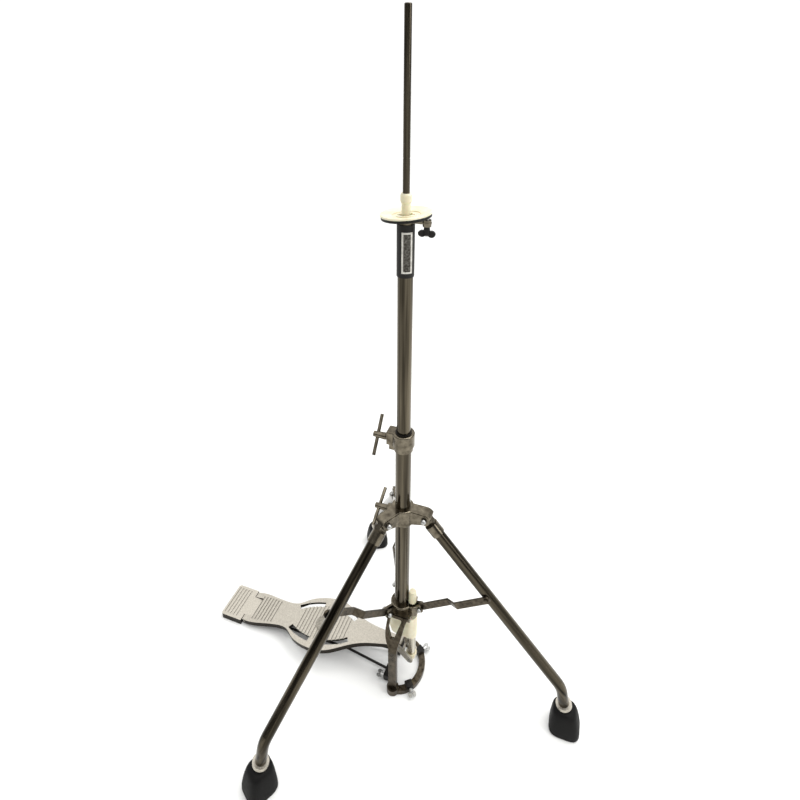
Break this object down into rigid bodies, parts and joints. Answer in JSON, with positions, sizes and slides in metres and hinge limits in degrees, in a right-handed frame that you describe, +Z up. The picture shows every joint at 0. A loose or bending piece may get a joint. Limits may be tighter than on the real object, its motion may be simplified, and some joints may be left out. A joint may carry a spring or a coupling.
{
  "type": "hi-hat stand",
  "caption": "Drummer's hi-hat stand: folding tripod, telescoping column, ribbed footboard linked to a sprung pull rod, tilting cymbal seat.",
  "frame": {"origin": "on the column axis at floor level, at the centre of the underside of the floor frame", "axes": "+Z up along the column; the footboard runs along -Y and one leg along +Y; +X completes a right-handed set, towards the side the stand is seen from"},
  "size_m": [0.5062, 0.621, 0.997],
  "materials": {
    "plated_steel": "bright nickel-chrome plate over drawn steel tube",
    "plated_rod": "nickel-plated solid rod",
    "plated_casting": "plated die casting",
    "cast_alloy": "bare cast aluminium, lightly tumbled",
    "steel_frame": "dull plated pressed steel",
    "spring_steel": "oiled spring wire",
    "zinc_fastener": "bright zinc-plated",
    "ivory_nylon": "aged ivory nylon, semi-matt",
    "black_fibre": "black vulcanised fibre",
    "black_block": "black japanned",
    "black_wire": "black oxide rod",
    "badge_silver": "plain anodised foil plate",
    "foot_rubber": "moulded black rubber, matt"
  },
  "bodies": {
    "frame": {"lower_tube": "plated_steel", "clamp_bush": "black_fibre", "height_clamp": "plated_casting", "prong_near": "steel_frame", "prong_far": "steel_frame", "lower_collar": "plated_casting", "brace_pins": "zinc_fastener", "base_shoe": "steel_frame", "clamp_blocks": "black_block", "spring_seat": "ivory_nylon", "spread_wires": "black_wire", "heel_plate": "cast_alloy", "heel_pin": "zinc_fastener"},
    "upper_column": {"upper_tube": "plated_steel", "tube_sleeve": "black_fibre", "badge_plate": "badge_silver", "seat_sleeve": "ivory_nylon", "seat_bracket": "plated_casting"},
    "seat": {"seat_cup": "ivory_nylon", "seat_washer": "black_fibre"},
    "tilt_pin": {"tilt_pin": "zinc_fastener"},
    "tilt_wing": {"tilt_wing": "black_block"},
    "height_screw": {"height_screw": "plated_casting"},
    "leg_screw": {"leg_screw": "plated_casting"},
    "leg_collar": {"leg_collar": "plated_casting", "leg_pins": "zinc_fastener"},
    "pull": {"rod_upper": "plated_rod", "rod_coupling": "zinc_fastener", "rod_lower": "plated_rod", "spring": "spring_steel", "crosshead": "ivory_nylon", "pull_tube": "plated_steel", "pull_foot": "ivory_nylon", "link_pin": "zinc_fastener"},
    "toe_link": {"toe_link": "cast_alloy"},
    "pedal": {"footboard": "cast_alloy", "toe_pin": "zinc_fastener", "board_badge": "badge_silver"},
    "guide_post": {"guide_post": "plated_rod", "post_knob": "ivory_nylon"},
    "leg_a": {"leg_tube_a": "plated_steel", "leg_knuckle_a": "plated_casting", "foot_a": "foot_rubber", "foot_ring_a": "cast_alloy"},
    "brace_a": {"brace_a": "steel_frame"},
    "leg_b": {"leg_tube_b": "plated_steel", "leg_knuckle_b": "plated_casting", "foot_b": "foot_rubber", "foot_ring_b": "cast_alloy"},
    "brace_b": {"brace_b": "steel_frame"},
    "leg_c": {"leg_tube_c": "plated_steel", "leg_knuckle_c": "plated_casting", "foot_c": "foot_rubber", "foot_ring_c": "cast_alloy"},
    "brace_c": {"brace_c": "steel_frame"},
    "wing_front_near": {"wing_front_near": "zinc_fastener"},
    "wing_front_far": {"wing_front_far": "zinc_fastener"},
    "wing_rear_near": {"wing_rear_near": "zinc_fastener"},
    "wing_rear_far": {"wing_rear_far": "zinc_fastener"}
  },
  "joints": [
    {"name": "column_height", "type": "slide", "parent": "frame", "child": "upper_column", "axis": [0, 0, 1], "range_m": [-0.08, 0.15]},
    {"name": "seat_tilt", "type": "hinge", "parent": "upper_column", "child": "seat", "pos_m": [0, 0, 0.7806], "axis": [1, 0, 0], "range_deg": [-5, 0]},
    {"name": "tilt_pin_feed", "type": "slide", "parent": "upper_column", "child": "tilt_pin", "axis": [0, 0, 1], "range_m": [-0.0023, 0]},
    {"name": "tilt_wing_turn", "type": "hinge", "parent": "tilt_pin", "child": "tilt_wing", "pos_m": [0, 0.025, 0.762], "axis": [0, 0, 1], "range_deg": [-1000, 0]},
    {"name": "height_screw_turn", "type": "hinge", "parent": "frame", "child": "height_screw", "pos_m": [0, -0.03, 0.467], "axis": [0, -1, 0], "range_deg": [0, 360]},
    {"name": "leg_fold", "type": "slide", "parent": "frame", "child": "leg_collar", "axis": [0, 0, 1], "range_m": [0, 0.07]},
    {"name": "leg_screw_turn", "type": "hinge", "parent": "leg_collar", "child": "leg_screw", "pos_m": [0, -0.03, 0.339], "axis": [0, -1, 0], "range_deg": [0, 360]},
    {"name": "leg_a_hinge", "type": "hinge", "parent": "leg_collar", "child": "leg_a", "pos_m": [0, 0.034, 0.342], "axis": [-1, 0, 0], "range_deg": [0, 23.22]},
    {"name": "brace_a_hinge", "type": "hinge", "parent": "frame", "child": "brace_a", "pos_m": [0, 0.03, 0.156], "axis": [1, 0, 0], "range_deg": [0, 31.75]},
    {"name": "leg_b_hinge", "type": "hinge", "parent": "leg_collar", "child": "leg_b", "pos_m": [0.02944, -0.017, 0.342], "axis": [0.5, 0.866, 0], "range_deg": [0, 23.22]},
    {"name": "brace_b_hinge", "type": "hinge", "parent": "frame", "child": "brace_b", "pos_m": [0.02598, -0.015, 0.156], "axis": [-0.5, -0.866, 0], "range_deg": [0, 31.75]},
    {"name": "leg_c_hinge", "type": "hinge", "parent": "leg_collar", "child": "leg_c", "pos_m": [-0.02944, -0.017, 0.342], "axis": [0.5, -0.866, 0], "range_deg": [0, 23.22]},
    {"name": "brace_c_hinge", "type": "hinge", "parent": "frame", "child": "brace_c", "pos_m": [-0.02598, -0.015, 0.156], "axis": [-0.5, 0.866, 0], "range_deg": [0, 31.75]},
    {"name": "pedal_press", "type": "hinge", "parent": "frame", "child": "pedal", "pos_m": [0, -0.289, 0.008], "axis": [-1, 0, 0], "range_deg": [0, 5], "stiffness_Nm_per_rad": 40, "springref_deg": -6.88},
    {"name": "pull_stroke", "type": "slide", "parent": "frame", "child": "pull", "axis": [0, 0, -1], "range_m": [0, 0.02827], "deforming": ["spring"]},
    {"name": "toe_link_swing", "type": "hinge", "parent": "pull", "child": "toe_link", "pos_m": [0, 0.0175, 0.04], "axis": [-1, 0, 0], "range_deg": [0, 9.28]},
    {"name": "guide_post_turn", "type": "hinge", "parent": "frame", "child": "guide_post", "pos_m": [0, 0.0175, 0.15], "axis": [0, 0, 1], "range_deg": [-180, 180]},
    {"name": "wing_front_near_turn", "type": "hinge", "parent": "frame", "child": "wing_front_near", "pos_m": [0.0295, 0.023, 0.007], "axis": [0.766, 0.6428, 0], "range_deg": [0, 360]},
    {"name": "wing_front_far_turn", "type": "hinge", "parent": "frame", "child": "wing_front_far", "pos_m": [-0.0295, 0.023, 0.007], "axis": [-0.766, 0.6428, 0], "range_deg": [0, 360]},
    {"name": "wing_rear_near_turn", "type": "hinge", "parent": "frame", "child": "wing_rear_near", "pos_m": [0.029, -0.013, 0.0085], "axis": [0, -1, 0], "range_deg": [0, 360]},
    {"name": "wing_rear_far_turn", "type": "hinge", "parent": "frame", "child": "wing_rear_far", "pos_m": [-0.029, -0.013, 0.0085], "axis": [0, -1, 0], "range_deg": [0, 360]}
  ],
  "couplings": [
    {"joint": "tilt_pin_feed", "follows": "seat_tilt", "m_per_rad": 0.025},
    {"joint": "tilt_wing_turn", "follows": "seat_tilt", "ratio": 196},
    {"joint": "leg_a_hinge", "follows": "leg_fold", "rad_per_m": 5.714},
    {"joint": "brace_a_hinge", "follows": "leg_fold", "rad_per_m": 7.8405},
    {"joint": "leg_b_hinge", "follows": "leg_fold", "rad_per_m": 5.714},
    {"joint": "brace_b_hinge", "follows": "leg_fold", "rad_per_m": 7.8405},
    {"joint": "leg_c_hinge", "follows": "leg_fold", "rad_per_m": 5.714},
    {"joint": "brace_c_hinge", "follows": "leg_fold", "rad_per_m": 7.8405},
    {"joint": "pull_stroke", "follows": "pedal_press", "m_per_rad": 0.32161},
    {"joint": "toe_link_swing", "follows": "pedal_press", "ratio": 1.8357}
  ]
}
